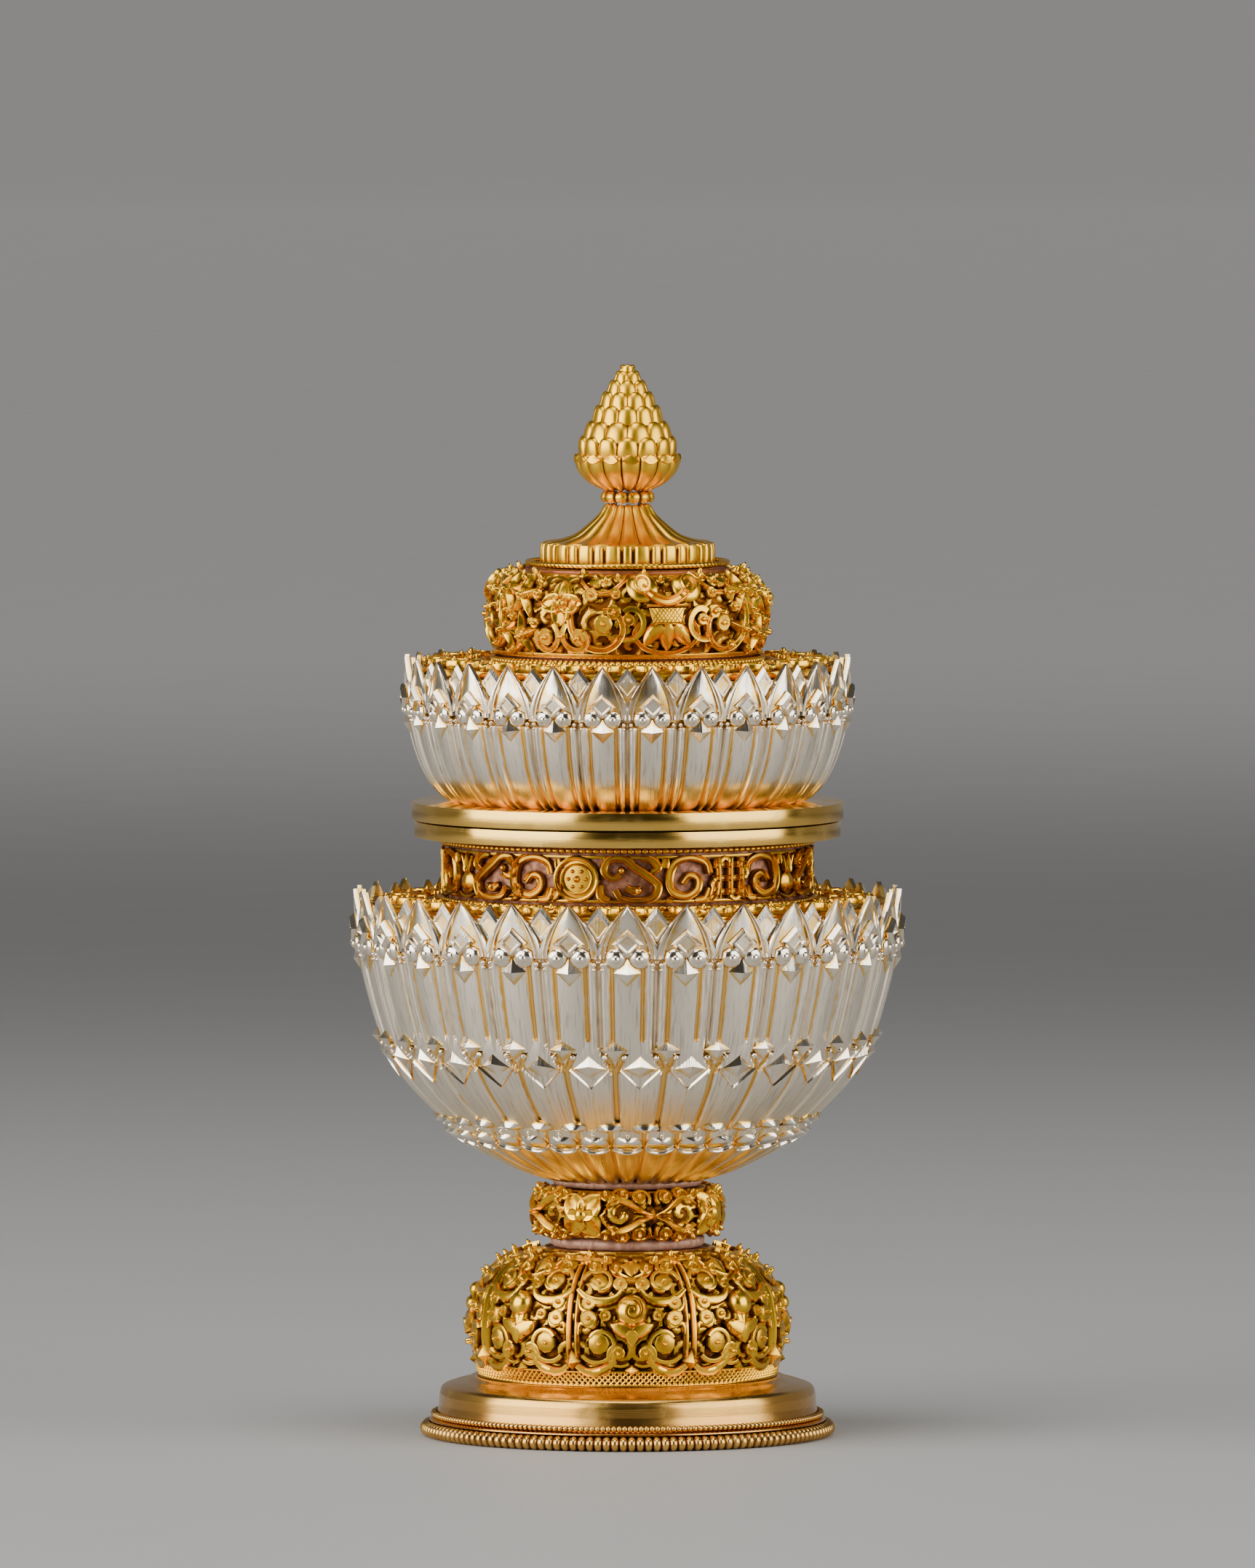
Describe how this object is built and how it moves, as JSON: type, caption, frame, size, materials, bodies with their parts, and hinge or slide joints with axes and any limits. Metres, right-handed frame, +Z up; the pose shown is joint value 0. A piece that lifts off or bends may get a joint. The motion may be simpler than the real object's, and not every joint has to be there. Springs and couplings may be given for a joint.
{
  "type": "ciborium vessel",
  "caption": "Lidded ceremonial vessel: silver lotus bowl with gilt openwork neck on a domed pedestal, and a lotus lid with bud finial that lifts off.",
  "frame": {"origin": "centre of the sole, on the surface the vessel stands on", "axes": "+Z up along the vessel's axis, through the finial's tip; -Y faces the viewer, +X to the viewer's right"},
  "size_m": [0.096, 0.0962, 0.185],
  "materials": {
    "silver": "bright chased silver with gilt in the grooves",
    "gold": "polished gilding over chased openwork",
    "brass": "brushed gilt brass",
    "copper": "matt red copper",
    "steel": "plain turned steel"
  },
  "bodies": {
    "vessel": {"bowl_lotus": "silver", "bowl_liner": "silver", "foot_bead_ring": "gold", "foot_bead_wire": "gold", "dome_shell": "gold", "dome_emblem_1": "gold", "dome_emblem_2": "gold", "dome_emblem_3": "gold", "dome_emblem_4": "gold", "dome_emblem_5": "gold", "dome_emblem_6": "gold", "dome_emblem_7": "gold", "dome_emblem_8": "gold", "knop_ring": "gold", "bowl_deck": "gold", "deck_bead_wire": "gold", "neck_band": "gold", "neck_bead_wire": "gold", "plinth": "brass", "vessel_flange": "brass", "sole_plate": "copper", "dome_liner": "copper", "knop_lower_collar": "copper", "knop_core": "copper", "knop_upper_collar": "copper", "neck_sleeve": "copper", "stem_rod": "steel", "stem_washer": "steel", "stem_lower_nut": "steel", "stem_upper_nut": "steel"},
    "lid": {"lid_lotus": "silver", "lid_deck": "gold", "crown_lower_rope": "gold", "crown_band": "gold", "crown_upper_rope": "gold", "finial_base": "gold", "finial_bead_collar": "gold", "finial_bud": "gold", "lid_spigot": "brass", "lid_flange": "brass", "crown_sleeve": "copper", "crown_top_plate": "copper", "finial_stud": "steel", "finial_washer": "steel", "finial_nut": "steel"}
  },
  "joints": [
    {"name": "lid_lift", "type": "slide", "parent": "vessel", "child": "lid", "axis": [0, 0, 1], "range_m": [0, 0.09]}
  ]
}
